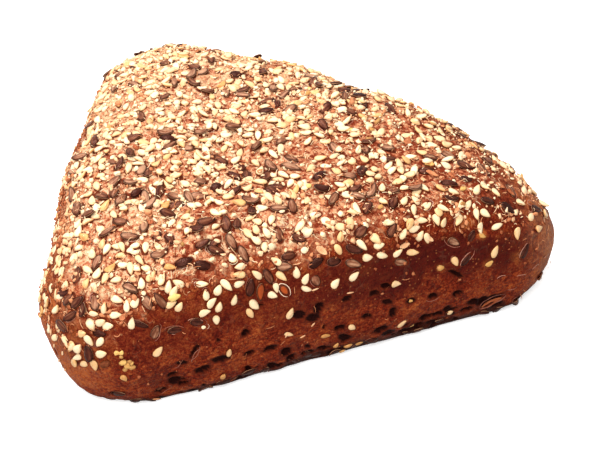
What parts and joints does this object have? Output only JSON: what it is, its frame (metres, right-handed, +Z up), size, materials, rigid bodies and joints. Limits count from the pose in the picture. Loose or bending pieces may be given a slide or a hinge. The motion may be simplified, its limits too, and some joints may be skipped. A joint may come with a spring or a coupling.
{
  "type": "protein roll",
  "caption": "Triangular protein bread roll with a browned crust and a topping of sesame and linseed.",
  "frame": {"origin": "on the flat base, under the middle of the roll's outline", "axes": "+Z up, +X along the longest straight wall, which faces -Y"},
  "size_m": [0.1319, 0.1087, 0.0421],
  "materials": {
    "crust": null,
    "sesame": "toasted hulled sesame, cream, satin",
    "linseed": "brown linseed, smooth shell with a soft gloss",
    "bran": "dry husk splinters, bran flakes and crumbs, straw coloured"
  },
  "bodies": {
    "root": {"roll": "crust"}
  },
  "joints": []
}
